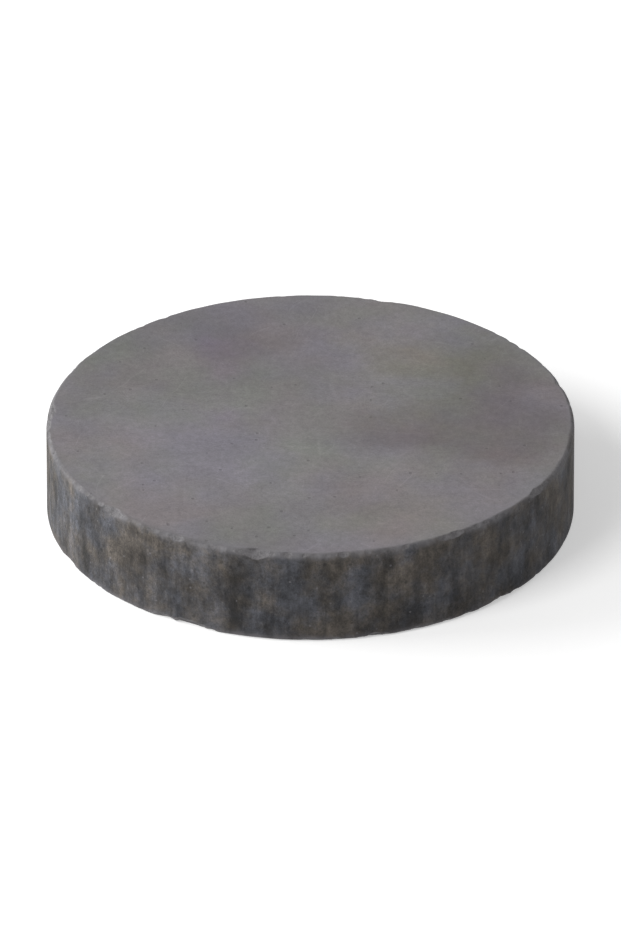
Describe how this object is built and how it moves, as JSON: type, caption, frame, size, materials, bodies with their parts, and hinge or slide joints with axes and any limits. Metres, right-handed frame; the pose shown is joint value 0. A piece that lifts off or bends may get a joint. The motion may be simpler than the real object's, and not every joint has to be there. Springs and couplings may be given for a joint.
{
  "type": "disc magnet",
  "caption": "Plain solid ferrite disc magnet, 16 mm across and 3 mm thick, with ground pole faces and a dark fired rim.",
  "frame": {"origin": "centre of the lower pole face, on which the disc lies", "axes": "+Z along the disc's axis, out of the upper pole face; +X and +Y lie in the lower pole face and are arbitrary apart from the places of the edge chips"},
  "size_m": [0.016, 0.016, 0.003],
  "materials": {
    "ferrite": "matte ground faces, dull dark fired rim"
  },
  "bodies": {
    "root": {"magnet_disc": "ferrite"}
  },
  "joints": []
}
